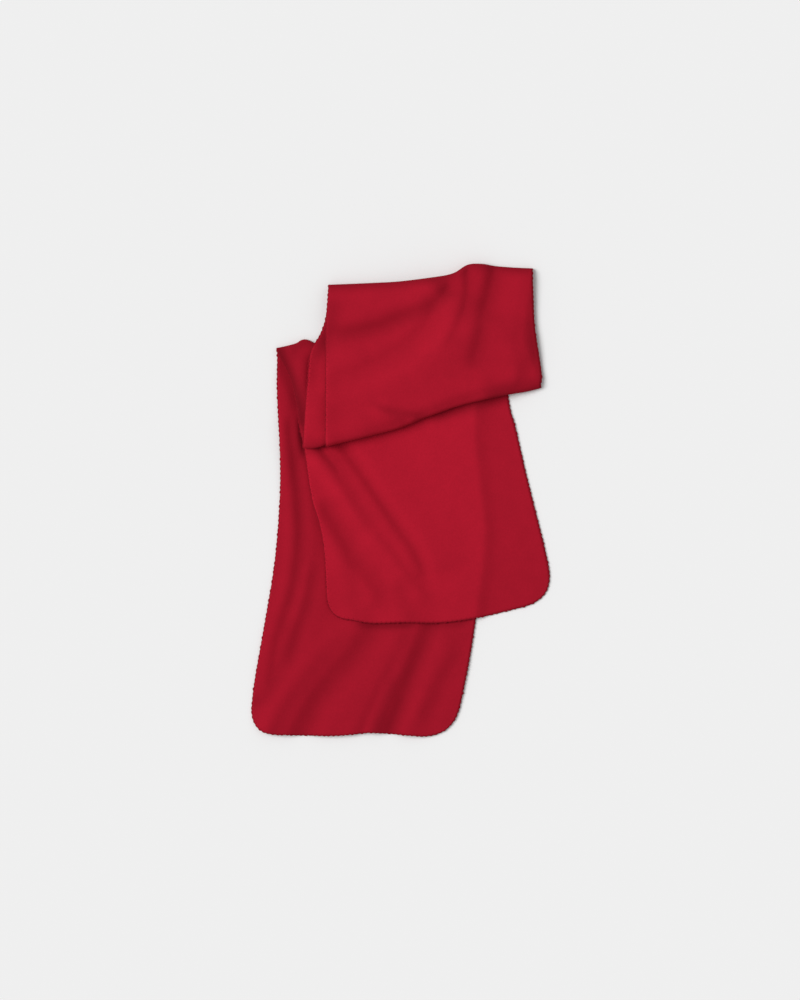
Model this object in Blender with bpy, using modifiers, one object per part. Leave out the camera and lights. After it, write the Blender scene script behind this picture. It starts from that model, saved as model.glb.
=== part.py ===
"""A fleece scarf folded flat: one strip of cloth, 1.40 x 0.27 m, in six layers with five folds.

The strip lies on a level surface, z = 0.  Its lower end goes up to a fold at the top left, comes
back down as a short return layer, goes up again under the band, folds over the band's top edge,
comes down as the band in front, folds under the band's lower edge, and after one last hidden fold
comes out below the band as the upper end.  From the surface up, the layers are
lower end, upper end, tuck, return, under band, front band.

Axes: +X to the right of the laid scarf, +Y from its lower end to the band, +Z up.
The origin is under the middle of the folded scarf.
"""

import bpy
import numpy as np

# ---- driving sizes, in metres ----
CUT_WIDTH = 0.27
CLOTH = 0.0022              # the wall, a little thinner than the lofted fleece
LAYER_GAP = 0.0008          # between layers that lie on each other
SEAM_GAP = 0.0008           # between two stretches of the strip
COLUMNS = 17                # cells across the strip
ROW_STEP = CUT_WIDTH / COLUMNS
FOLD_ROWS = 5               # cells round a fold
CURVE_STEPS = 24            # samples between two rows of a table
ROUND_STEPS = 16            # samples along a rounded corner

# ---- the height map on which the layers are draped ----
MAP_STEP = 0.003
MAP_HALF_X = 0.216
MAP_HALF_Y = 0.324
SPREAD_CELLS = 3            # how far each layer reaches out as support for the next
SAG_PASSES = 14             # how gently a layer comes down past an edge
SOFTEN_PASSES = 3
SPOTS = 7                   # tested points along a cell's side
LIFT_PASSES = 3

SCARF_RED = (0.351, 0.0091, 0.0222, 1.0)
FLEECE_ROUGHNESS = 0.95

# ---- fold lines in plan, from the strip's left edge to its right edge: x, y ----
FOLD_LINES = {
    "end_fold": [(-0.158, 0.191), (-0.144, 0.194), (-0.133, 0.197), (-0.120, 0.202), (-0.093, 0.190),
                 (-0.034, 0.180), (0.037, 0.199), (0.114, 0.225)],
    "return_fold": [(-0.124, 0.066), (-0.109, 0.067), (-0.094, 0.071), (-0.071, 0.080), (-0.034, 0.093),
                    (0.046, 0.124), (0.103, 0.144), (0.146, 0.151)],
    "top_fold": [(-0.092, 0.271), (-0.042, 0.273), (-0.003, 0.275), (0.038, 0.280), (0.066, 0.2855),
                 (0.085, 0.2965), (0.103, 0.2975), (0.119, 0.295), (0.143, 0.293), (0.166, 0.292)],
    "lower_fold": [(-0.0945, 0.0665), (-0.071, 0.0730), (-0.034, 0.083), (0.006, 0.0955), (0.046, 0.1095),
                   (0.071, 0.119), (0.103, 0.127), (0.136, 0.134), (0.160, 0.138), (0.178, 0.143)],
    "tuck_fold": [(-0.117, 0.126), (0.004, 0.165), (0.136, 0.222)],
}
# how far each fold's rounding reaches in from its line
FOLD_REACH = {"end_fold": 0.0055, "return_fold": 0.0024, "top_fold": 0.0024, "lower_fold": 0.0050,
              "tuck_fold": 0.0024}
BAND_MIDDLE = (0.0, 0.17)   # in plan; each fold's layers lie on this side of its line

# ---- the two rounded ends, from the left corner to the right: x, y, and how far each corner is cut back ----
END_LINES = {
    "lower_hem": [(-0.191, -0.298), (-0.146, -0.299), (-0.088, -0.300), (-0.058, -0.297), (-0.040, -0.295),
                  (-0.010, -0.2965), (0.030, -0.300), (0.066, -0.300)],
    "upper_hem": [(-0.092, -0.152), (-0.068, -0.1535), (-0.036, -0.157), (0.005, -0.155), (0.048, -0.156),
                  (0.094, -0.151), (0.154, -0.136), (0.195, -0.1255)],
}
CORNER_CUT = {"lower_hem": (0.034, 0.038), "upper_hem": (0.024, 0.040)}

# ---- the strip's long edges between those lines, in the strip's own order: x, y ----
LEFT_EDGES = {
    "lower_end": [(-0.187, -0.240), (-0.174, -0.164), (-0.160, -0.078), (-0.1535, 0.005), (-0.1535, 0.063),
                  (-0.157, 0.134)],
    "return": [(-0.141, 0.155), (-0.133, 0.124), (-0.129, 0.093)],
    "under_band": [(-0.122, 0.100), (-0.119, 0.146), (-0.115, 0.186), (-0.103, 0.208), (-0.095, 0.232)],
    "front_band": [(-0.095, 0.216), (-0.0955, 0.127)],
    "tuck": [(-0.109, 0.098)],
    "upper_end": [(-0.1255, 0.127), (-0.122, 0.064), (-0.114, 0.004), (-0.103, -0.033), (-0.0975, -0.066),
                  (-0.095, -0.113)],
}
RIGHT_EDGES = {
    "lower_end": [(0.083, -0.222), (0.094, -0.151), (0.1075, -0.046), (0.100, 0.025), (0.094, 0.104),
                  (0.103, 0.190)],
    "return": [(0.132, 0.203)],
    "under_band": [(0.152, 0.190), (0.160, 0.240)],
    "front_band": [(0.167, 0.256), (0.170, 0.216), (0.179, 0.158)],
    "tuck": [(0.156, 0.197)],
    "upper_end": [(0.136, 0.133), (0.146, 0.089), (0.1585, 0.034), (0.171, -0.016), (0.182, -0.060)],
}

# ---- stretches of the strip: name, line it starts at, line it ends at ----
STRETCHES = [
    ("lower_end", "lower_hem", "end_fold"),
    ("return", "end_fold", "return_fold"),
    ("under_band", "return_fold", "top_fold"),
    ("front_band", "top_fold", "lower_fold"),
    ("tuck", "lower_fold", "tuck_fold"),
    ("upper_end", "tuck_fold", "upper_hem"),
]
STACK_ORDER = ["lower_end", "upper_end", "tuck", "return", "under_band", "front_band"]

# ---- the largest creases, as ridges: stretch, height, half width, path ----
CREASES = [
    ("lower_end", 0.0035, 0.015, [(-0.106, -0.158), (-0.130, -0.215), (-0.156, -0.270)]),
    ("lower_end", 0.0050, 0.014, [(-0.020, -0.190), (-0.060, -0.240), (-0.090, -0.292)]),
    ("lower_end", 0.0065, 0.014, [(0.044, -0.185), (0.022, -0.236), (0.000, -0.292)]),
    ("upper_end", 0.0045, 0.014, [(-0.110, 0.040), (-0.084, -0.026), (-0.046, -0.095)]),
    ("upper_end", 0.0050, 0.013, [(-0.082, 0.052), (-0.036, -0.024), (0.010, -0.110)]),
    ("upper_end", 0.0040, 0.018, [(-0.030, 0.045), (0.006, -0.026), (0.042, -0.096)]),
    ("front_band", 0.0060, 0.013, [(0.094, 0.290), (0.088, 0.240), (0.078, 0.196)]),
    ("front_band", 0.0050, 0.016, [(0.126, 0.286), (0.114, 0.214), (0.100, 0.172)]),
    ("front_band", 0.0040, 0.018, [(-0.070, 0.138), (-0.010, 0.170), (0.042, 0.220), (0.066, 0.246)]),
]

COVERED_UPPER_END = 0.06    # how much of the upper end belongs to the hidden layers


# ---------------------------------------------------------------- plan curves
def curve_through(points):
    """A smooth curve through the points (centred differences, cubic spans), densely sampled."""
    points = np.array(points, float)
    before = np.vstack([2 * points[0] - points[1], points[:-1]])
    after = np.vstack([points[1:], 2 * points[-1] - points[-2]])
    slopes = (after - before) / 2
    t = np.linspace(0, 1, CURVE_STEPS, endpoint=False)[:, None]
    spans = []
    for i in range(len(points) - 1):
        a, b = points[i], points[i + 1]
        p, q = slopes[i], slopes[i + 1]
        spans.append((2 * t**3 - 3 * t**2 + 1) * a + (t**3 - 2 * t**2 + t) * p
                     + (3 * t**2 - 2 * t**3) * b + (t**3 - t**2) * q)
    return np.vstack(spans + [points[-1:]])


def lengths_along(curve):
    """The distance from the curve's start to each of its points."""
    return np.concatenate([[0], np.cumsum(np.linalg.norm(np.diff(curve, axis=0), axis=1))])


def at_lengths(curve, where):
    """Points of the curve at the given distances from its start."""
    run = lengths_along(curve)
    return np.stack([np.interp(where, run, curve[:, k]) for k in range(curve.shape[1])], axis=-1)


def resample(curve, cells):
    """The curve as evenly spaced points, one more than the cells."""
    return at_lengths(curve, np.linspace(0, lengths_along(curve)[-1], cells + 1))


def trim(curve, start=0.0, end=0.0):
    """The curve without the given lengths at its start and end."""
    total = lengths_along(curve)[-1]
    return at_lengths(curve, np.linspace(start, total - end, len(curve)))


def corner_arc(before, corner, after):
    """A round corner: a curve that leaves towards the corner and arrives from it."""
    t = np.linspace(0, 1, ROUND_STEPS)[:, None]
    return (1 - t)**2 * before + 2 * t * (1 - t) * corner + t**2 * after


def inward(line):
    """Unit vectors across a fold line, pointing to the side on which its layers lie."""
    along = np.gradient(line, axis=0)
    across = np.stack([-along[:, 1], along[:, 0]], axis=1)
    across /= np.linalg.norm(across, axis=1)[:, None]
    side = np.sign(np.sum(across * (BAND_MIDDLE - line.mean(axis=0)), axis=1))
    return across * side[:, None]


def fold_parts(name):
    """A fold's line in plan at the strip's columns, and the line in from it where the rounding starts."""
    line = resample(curve_through(FOLD_LINES[name]), COLUMNS)
    return line, line + inward(line) * FOLD_REACH[name]


def edge_curve(first, points, last):
    return curve_through(np.vstack([first, points, last]))


def patch(start, end, left, right, rows):
    """Plan points between four boundary curves; the corners are shared."""
    start, end = resample(start, COLUMNS), resample(end, COLUMNS)
    left, right = resample(left, rows), resample(right, rows)
    u = np.linspace(0, 1, COLUMNS + 1)[None, :, None]
    v = np.linspace(0, 1, rows + 1)[:, None, None]
    between_sides = (1 - u) * left[:, None] + u * right[:, None]
    between_lines = (1 - v) * start[None] + v * end[None]
    corners = ((1 - u) * (1 - v) * left[0] + u * (1 - v) * right[0]
               + (1 - u) * v * left[-1] + u * v * right[-1])
    return between_sides + between_lines - corners


def stretch_plan(name, start_name, end_name):
    """Plan points of one stretch, from where its first fold's rounding ends to where the next begins."""
    left, right = LEFT_EDGES[name], RIGHT_EDGES[name]
    ends = []
    for line_name in (start_name, end_name):
        if line_name in END_LINES:
            ends.append(curve_through(END_LINES[line_name]))
        else:
            ends.append(fold_parts(line_name)[1])
    start, end = ends
    left = edge_curve(start[0], left, end[0])
    right = edge_curve(start[-1], right, end[-1])
    if start_name in END_LINES:
        start, left, right = round_end(start, left, right, CORNER_CUT[start_name])
    if end_name in END_LINES:
        end, left_back, right_back = round_end(end, left[::-1], right[::-1], CORNER_CUT[end_name])
        left, right = left_back[::-1], right_back[::-1]
    rows = round((lengths_along(left)[-1] + lengths_along(right)[-1]) / 2 / ROW_STEP)
    return patch(start, end, left, right, rows)


def round_end(hem, left, right, cuts):
    """The hem and the two edges that leave it, with the corners between them rounded."""
    middle = ROUND_STEPS // 2
    sides = []
    hem_parts = []
    for corner, edge, along_hem, cut in ((hem[0], left, hem, cuts[0]), (hem[-1], right, hem[::-1], cuts[1])):
        on_edge = at_lengths(edge, np.array([cut]))[0]
        on_hem = at_lengths(along_hem, np.array([cut]))[0]
        arc = corner_arc(on_edge, corner, on_hem)
        sides.append(np.vstack([arc[middle::-1], trim(edge, start=cut)[1:]]))
        hem_parts.append(arc[middle:])
    straight = trim(hem, start=cuts[0], end=cuts[1])
    new_hem = np.vstack([hem_parts[0], straight[1:-1], hem_parts[1][::-1]])
    return new_hem, sides[0], sides[1]


# ---------------------------------------------------------------- heights
MAP_X = np.arange(-MAP_HALF_X, MAP_HALF_X + MAP_STEP / 2, MAP_STEP)
MAP_Y = np.arange(-MAP_HALF_Y, MAP_HALF_Y + MAP_STEP / 2, MAP_STEP)
GRID_X, GRID_Y = np.meshgrid(MAP_X, MAP_Y)


def shifted(heights, rows, columns):
    """The map moved by whole cells, its border values repeated."""
    reach = max(abs(rows), abs(columns))
    wide = np.pad(heights, reach, mode="edge")
    top, side = reach + rows, reach + columns
    return wide[top:top + heights.shape[0], side:side + heights.shape[1]]


def spread(heights, cells):
    """Each height carried out to every cell within the given number of cells."""
    out = heights.copy()
    for i in range(-cells, cells + 1):
        for j in range(-cells, cells + 1):
            if i * i + j * j <= cells * cells + 1:
                out = np.maximum(out, shifted(heights, i, j))
    return out


def soften(heights):
    """One light smoothing pass, with weights 1, 2, 1 each way."""
    heights = (shifted(heights, -1, 0) + 2 * heights + shifted(heights, 1, 0)) / 4
    return (shifted(heights, 0, -1) + 2 * heights + shifted(heights, 0, 1)) / 4


def drape(under):
    """The underside of a cloth laid on the given heights: it bridges hollows and rounds off edges."""
    support = spread(under, SPREAD_CELLS)
    cloth = support.copy()
    for _ in range(SAG_PASSES):
        cloth = np.maximum(support, soften(cloth))
    for _ in range(SOFTEN_PASSES):
        cloth = soften(cloth)
    return cloth


def inside(outline):
    """The map's cells that lie inside a closed outline."""
    found = np.zeros(GRID_X.shape, bool)
    for (x1, y1), (x2, y2) in zip(outline, np.roll(outline, -1, axis=0)):
        if y1 == y2:
            continue
        crosses = (y1 > GRID_Y) != (y2 > GRID_Y)
        found ^= crosses & (GRID_X < (x2 - x1) * (GRID_Y - y1) / (y2 - y1) + x1)
    return found


def distance_to(path):
    """The distance in plan from each of the map's cells to a path."""
    nearest = np.full(GRID_X.shape, np.inf)
    for (ax, ay), (bx, by) in zip(path, path[1:]):
        dx, dy = bx - ax, by - ay
        t = np.clip(((GRID_X - ax) * dx + (GRID_Y - ay) * dy) / (dx * dx + dy * dy), 0, 1)
        nearest = np.minimum(nearest, np.hypot(GRID_X - ax - t * dx, GRID_Y - ay - t * dy))
    return nearest


def crease_heights(name):
    """How far the stretch's own creases stand above its draped height."""
    total = np.zeros(GRID_X.shape)
    for stretch, height, half_width, path in CREASES:
        if stretch == name:
            total = np.maximum(total, height * np.exp(-(distance_to(path) / half_width)**2))
    return total


def height_at(heights, points):
    """Heights of the map at plan points, between cells."""
    col = (points[..., 0] - MAP_X[0]) / MAP_STEP
    row = (points[..., 1] - MAP_Y[0]) / MAP_STEP
    i = np.clip(np.floor(row).astype(int), 0, len(MAP_Y) - 2)
    j = np.clip(np.floor(col).astype(int), 0, len(MAP_X) - 2)
    fi, fj = row - i, col - j
    return ((1 - fi) * ((1 - fj) * heights[i, j] + fj * heights[i, j + 1])
            + fi * ((1 - fj) * heights[i + 1, j] + fj * heights[i + 1, j + 1]))


def cell_points(grid):
    """Points spread over the grid's cells, as (rows, columns, spots, 3), and each spot's corner weights."""
    t = np.linspace(0, 1, SPOTS)
    u, v = (w.ravel()[None, None, :, None] for w in np.meshgrid(t, t))
    weights = [(1 - u) * (1 - v), u * (1 - v), (1 - u) * v, u * v]
    corners = [grid[:-1, :-1], grid[:-1, 1:], grid[1:, :-1], grid[1:, 1:]]
    return sum(w * c[:, :, None] for w, c in zip(weights, corners))


def lift_clear(grid, under):
    """The grid with its corners raised until every flat cell clears what it lies on."""
    grid = grid.copy()
    for _ in range(LIFT_PASSES):
        points = cell_points(grid)
        short = height_at(under, points) + CLOTH / 2 - points[..., 2]
        short = np.maximum(short.max(axis=2), 0)
        lift = np.zeros(grid.shape[:2])
        for i in (0, 1):
            for j in (0, 1):
                part = lift[i:i + short.shape[0], j:j + short.shape[1]]
                np.maximum(part, short, out=part)
        grid[..., 2] += lift
    return grid


def facet_heights(grid):
    """The heights of the grid's flat cells, carried to the map; nothing where it has no cell."""
    points = cell_points(grid).reshape(-1, 3)
    col = np.rint((points[:, 0] - MAP_X[0]) / MAP_STEP).astype(int)
    row = np.rint((points[:, 1] - MAP_Y[0]) / MAP_STEP).astype(int)
    out = np.zeros(GRID_X.shape)
    np.maximum.at(out, (row, col), points[:, 2])
    return out


def lay_stretches():
    """Each stretch's grid of points in space, laid from the bottom layer to the top one."""
    lines = {name: (start, end) for name, start, end in STRETCHES}
    under = np.zeros(GRID_X.shape)
    laid = {}
    for name in STACK_ORDER:
        plan = stretch_plan(name, *lines[name])
        middle = drape(under) + crease_heights(name) + CLOTH / 2
        grid = lift_clear(np.dstack([plan, height_at(middle, plan)]), under)
        laid[name] = grid
        outline = [plan[:, 0], plan[-1], plan[::-1, -1], plan[0, ::-1]]
        start, end = lines[name]
        if end in FOLD_LINES:
            outline[1] = fold_parts(end)[0]
        if start in FOLD_LINES:
            outline[3] = fold_parts(start)[0][::-1]
        covered = inside(np.vstack(outline))
        top = np.maximum(np.where(covered, middle, 0), facet_heights(grid))
        under = np.where(top > 0, np.maximum(under, top + CLOTH / 2 + LAYER_GAP), under)
    return laid


def fold_rows(name, first, last):
    """The rows that carry the strip round a fold, from the end of one layer to the start of the next."""
    line, start = fold_parts(name)
    middle = (first[:, 2] + last[:, 2]) / 2
    half = (last[:, 2] - first[:, 2]) / 2
    rows = []
    for i in range(1, FOLD_ROWS):
        turn = np.pi * i / FOLD_ROWS
        plan = start + (line - start) * np.sin(turn)
        rows.append(np.column_stack([plan, middle - half * np.cos(turn)]))
    return np.array(rows)


# ---------------------------------------------------------------- solids
def fleece(name):
    material = bpy.data.materials.new(name)
    material.use_nodes = True
    shader = material.node_tree.nodes["Principled BSDF"]
    shader.inputs["Base Color"].default_value = SCARF_RED
    shader.inputs["Roughness"].default_value = FLEECE_ROUGHNESS
    shader.inputs["Metallic"].default_value = 0.0
    return material


def cloth_wall(name, grid, collection):
    """One stretch of the strip: its grid of points as an open surface, thickened by Solidify."""
    rows, columns = grid.shape[:2]
    corners = [(i * columns + j, i * columns + j + 1, (i + 1) * columns + j + 1, (i + 1) * columns + j)
               for i in range(rows - 1) for j in range(columns - 1)]
    mesh = bpy.data.meshes.new(name)
    mesh.from_pydata(grid.reshape(-1, 3).tolist(), [], corners)
    mesh.shade_smooth()
    wall = bpy.data.objects.new(name, mesh)
    wall.data.materials.append(fleece(name))
    thicken = wall.modifiers.new("cloth", "SOLIDIFY")
    thicken.thickness = CLOTH
    thicken.offset = 0.0
    collection.objects.link(wall)


def shorten_start(grid):
    """The grid with its first row moved in by the seam's gap."""
    step = grid[1] - grid[0]
    length = np.linalg.norm(step, axis=1)[:, None]
    grid = grid.copy()
    grid[0] += step / length * SEAM_GAP
    return grid


def build():
    for old in list(bpy.data.objects):
        bpy.data.objects.remove(old)
    scarf = bpy.data.collections.new("folded_scarf")
    bpy.context.scene.collection.children.link(scarf)

    laid = lay_stretches()
    a, f, d, c, e, b = (laid[name] for name, _, _ in STRETCHES)
    end_fold = fold_rows("end_fold", a[-1], f[0])
    return_fold = fold_rows("return_fold", f[-1], d[0])
    top_fold = fold_rows("top_fold", d[-1], c[0])
    lower_fold = fold_rows("lower_fold", c[-1], e[0])
    tuck_fold = fold_rows("tuck_fold", e[-1], b[0])
    covered = round(COVERED_UPPER_END / ROW_STEP)

    cloth_wall("lower_end", np.concatenate([a, end_fold, f[:2]]), scarf)
    cloth_wall("return_layer", shorten_start(np.concatenate([f[1:], return_fold, d[:2]])), scarf)
    cloth_wall("under_band", shorten_start(d[1:-1]), scarf)
    cloth_wall("front_band", shorten_start(np.concatenate([d[-2:], top_fold, c, lower_fold, e[:2]])), scarf)
    cloth_wall("tucked_layers", shorten_start(np.concatenate([e[1:], tuck_fold, b[:covered + 1]])), scarf)
    cloth_wall("upper_end", shorten_start(b[covered:]), scarf)


build()
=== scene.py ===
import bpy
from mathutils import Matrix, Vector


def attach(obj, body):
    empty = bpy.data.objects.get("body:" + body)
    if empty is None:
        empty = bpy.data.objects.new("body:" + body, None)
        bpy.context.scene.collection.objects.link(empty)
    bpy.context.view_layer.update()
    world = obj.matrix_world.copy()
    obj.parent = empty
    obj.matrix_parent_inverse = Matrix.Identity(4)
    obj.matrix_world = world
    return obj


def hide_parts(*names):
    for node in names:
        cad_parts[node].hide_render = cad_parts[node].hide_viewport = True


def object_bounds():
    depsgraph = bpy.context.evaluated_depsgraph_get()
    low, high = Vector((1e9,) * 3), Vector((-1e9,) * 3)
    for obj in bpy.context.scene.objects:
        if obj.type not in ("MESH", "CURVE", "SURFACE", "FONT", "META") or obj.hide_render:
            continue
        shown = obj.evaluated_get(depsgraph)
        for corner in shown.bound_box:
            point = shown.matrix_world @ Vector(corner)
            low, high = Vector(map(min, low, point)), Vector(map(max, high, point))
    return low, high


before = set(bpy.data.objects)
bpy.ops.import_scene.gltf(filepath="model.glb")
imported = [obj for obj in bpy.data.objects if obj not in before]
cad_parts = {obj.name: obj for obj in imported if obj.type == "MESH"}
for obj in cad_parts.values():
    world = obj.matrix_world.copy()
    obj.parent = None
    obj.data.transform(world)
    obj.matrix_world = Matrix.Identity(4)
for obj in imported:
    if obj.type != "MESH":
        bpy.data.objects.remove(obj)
CAD_BOX = [list(corner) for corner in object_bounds()]

# The looks of a fleece scarf folded flat: one strip of cloth, 1.40 x 0.27 m, with an overcast edge.
# The strip is laid stretch by stretch, each one draped over the layers below it, in the packed
# model's own frame: +X right, +Y from the lower end to the band, +Z up, all in metres.

import math

import bpy
import numpy as np
from mathutils import Vector, noise

# ---------------------------------------------------------------- driving sizes
CUT_WIDTH = 0.27
CUT_LENGTH = 1.40
CLOTH = 0.0024                  # the fleece's thickness
LAYER_GAP = 0.0006              # air between layers that lie on each other
EDGE_INSET = 0.0008             # the cloth ends this far inside the overcast edge's outline
FLOOR = CAD_BOX[0][2]

# the strip's mesh
COLUMNS = 92                    # cells across the strip
ROW_STEP = 0.0030               # the length of a cell along it
FOLD_ROWS = 10                  # cells round a fold
ROW_PASSES = 2                  # how often the rows are smoothed along the strip
CURVE_STEPS = 24                # samples between two points of a plan curve
ROUND_STEPS = 24                # samples along a rounded corner

# the height map on which the layers are draped
MAP_STEP = 0.0015
MAP_HALF_X = 0.2160
MAP_HALF_Y = 0.3240
SPREAD_CELLS = 2                # how far each layer reaches out as support for the next
SAG_PASSES = 60                 # how gently a layer comes down past an edge
DRAPE_PASSES = 8                # light smoothing of a draped layer
LAYER_PASSES = 2                # light smoothing of a layer with its creases, and of what goes into it
PATH_STEPS = 4                  # samples of a crease's path for each of its points
FOLD_STRIDE = 6                 # every sixth point of a fold's line is enough to measure distances from

# slow unevenness of cloth that has been handled: height, size
UNEVEN = [(0.0007, 0.060), (0.00025, 0.022)]
UNEVEN_STRIDE = 3               # it is worked out at every third cell of the map

# the overcast edge
STITCH = 0.0060                 # from one stitch to the next
STITCH_SAMPLES = 8              # rings of the rolled edge for each stitch
STITCH_BITE = 0.0028            # how far in from the edge the needle goes
ROLL_SIDES = 10
ROLL_WIDE = (0.0005, 0.0012)    # half the roll's width at a stitch, and how much more between two stitches
ROLL_HIGH = (0.00122, 0.00006)  # the same for half its height
ROLL_SWELL = (0.8, 0.9)         # how full the swellings are, and how much that varies along the edge
ROLL_NOISE = (0.9, 5.0)         # noise steps for each stitch, and the noise's seed
OUT_CELLS = 2                   # the direction out of the cloth is read from this many cells inside
OUT_PASSES = 6                  # and is smoothed this often along the edge
THREAD_RADIUS = 0.00022
THREAD_SIDES = 5
THREAD_ASIDE = (0.31, 0.17, 0.93)   # a direction in which no stitch runs
THREAD_LIFT = CLOTH / 2         # the thread lies this far from the cloth's middle
# the upper half of a stitch, from its needle hole to the edge: out from the edge, above the cloth's middle
# and along the edge. The lower half mirrors it, and TURN is the place where the two meet.
UPPER_HALF = [(-STITCH_BITE, 0.55 * THREAD_LIFT, -0.0008), (-0.85 * STITCH_BITE, THREAD_LIFT, -0.0007),
              (-0.40 * STITCH_BITE, THREAD_LIFT, -0.0003), (0.0002, 0.95 * THREAD_LIFT, 0.0),
              (0.0006, 0.60 * THREAD_LIFT, 0.0)]
TURN = (0.0008, 0.0, 0.0)

# ---------------------------------------------------------------- the plan
# fold lines, from the strip's left edge to its right edge: x, y
FOLD_LINES = {
    "end_fold": [(-0.158, 0.191), (-0.144, 0.194), (-0.133, 0.197), (-0.120, 0.202), (-0.093, 0.190),
                 (-0.034, 0.180), (0.037, 0.199), (0.114, 0.225)],
    "return_fold": [(-0.124, 0.0655), (-0.109, 0.0655), (-0.094, 0.0700), (-0.071, 0.080),
                    (-0.034, 0.093), (0.046, 0.124), (0.103, 0.144), (0.146, 0.151)],
    "top_fold": [(-0.092, 0.271), (-0.042, 0.273), (-0.003, 0.275), (0.038, 0.280), (0.066, 0.2855),
                 (0.085, 0.2965), (0.103, 0.2975), (0.119, 0.295), (0.143, 0.293), (0.1672, 0.292)],
    "lower_fold": [(-0.0945, 0.0672), (-0.071, 0.0732), (-0.034, 0.0822), (-0.007, 0.0892),
                   (0.009, 0.0950), (0.023, 0.1012), (0.046, 0.1095), (0.071, 0.1182), (0.103, 0.1263),
                   (0.136, 0.1334), (0.160, 0.1375), (0.1782, 0.1423)],
    "tuck_fold": [(-0.117, 0.126), (0.004, 0.165), (0.136, 0.222)],
}
BAND_MIDDLE = (0.0, 0.17)       # the layers of every fold lie on this point's side of it
# how far each fold's rounding reaches in from its line
FOLD_REACH = {"end_fold": 0.0060, "return_fold": 0.0065, "top_fold": 0.0040, "lower_fold": 0.0052,
              "tuck_fold": 0.0024}

# the two rounded ends, from the left corner to the right: x, y, and how far each corner is cut back
END_LINES = {
    "lower_hem": [(-0.191, -0.298), (-0.146, -0.299), (-0.088, -0.300), (-0.058, -0.298),
                  (-0.040, -0.2962), (-0.010, -0.2978), (0.030, -0.301), (0.066, -0.300)],
    "upper_hem": [(-0.092, -0.151), (-0.068, -0.1525), (-0.036, -0.1573), (0.005, -0.1562),
                  (0.048, -0.1568), (0.094, -0.151), (0.152, -0.1375), (0.195, -0.1255)],
}
CORNER_CUT = {"lower_hem": (0.034, 0.038), "upper_hem": (0.027, 0.040)}

# the strip's long edges between those lines, in the strip's own order: x, y
LEFT_EDGES = {
    "lower_end": [(-0.187, -0.240), (-0.174, -0.164), (-0.160, -0.078), (-0.1535, 0.005),
                  (-0.1535, 0.063), (-0.157, 0.134)],
    "return": [(-0.141, 0.155), (-0.133, 0.124), (-0.129, 0.093)],
    "under_band": [(-0.122, 0.100), (-0.119, 0.146), (-0.115, 0.186), (-0.103, 0.208), (-0.095, 0.232)],
    "front_band": [(-0.095, 0.216), (-0.0955, 0.127)],
    "tuck": [(-0.109, 0.098)],
    "upper_end": [(-0.1255, 0.127), (-0.122, 0.064), (-0.114, 0.004), (-0.103, -0.033), (-0.0975, -0.066),
                  (-0.095, -0.113)],
}
RIGHT_EDGES = {
    "lower_end": [(0.0835, -0.222), (0.095, -0.151), (0.1075, -0.046), (0.100, 0.025), (0.094, 0.104),
                  (0.103, 0.190)],
    "return": [(0.132, 0.203)],
    "under_band": [(0.152, 0.190), (0.160, 0.240)],
    "front_band": [(0.168, 0.256), (0.1702, 0.216), (0.1788, 0.158)],
    "tuck": [(0.156, 0.197)],
    "upper_end": [(0.136, 0.133), (0.146, 0.089), (0.1585, 0.034), (0.171, -0.016), (0.182, -0.060)],
}

# stretches of the strip, and the lines at which each one starts and ends
STRETCHES = {
    "lower_end": ("lower_hem", "end_fold"),
    "return": ("end_fold", "return_fold"),
    "under_band": ("return_fold", "top_fold"),
    "front_band": ("top_fold", "lower_fold"),
    "tuck": ("lower_fold", "tuck_fold"),
    "upper_end": ("tuck_fold", "upper_hem"),
}
# the same stretches from the floor up
STACK_ORDER = ["lower_end", "upper_end", "tuck", "return", "under_band", "front_band"]

# ---------------------------------------------------------------- the creases
# Left and right are those of someone who goes along the crease's path.
CREASE_FADE = 0.026             # a crease fades out over this length at both ends of its path
FADE_START = 0.2                # and is this far into the fade where the path starts or ends
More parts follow.
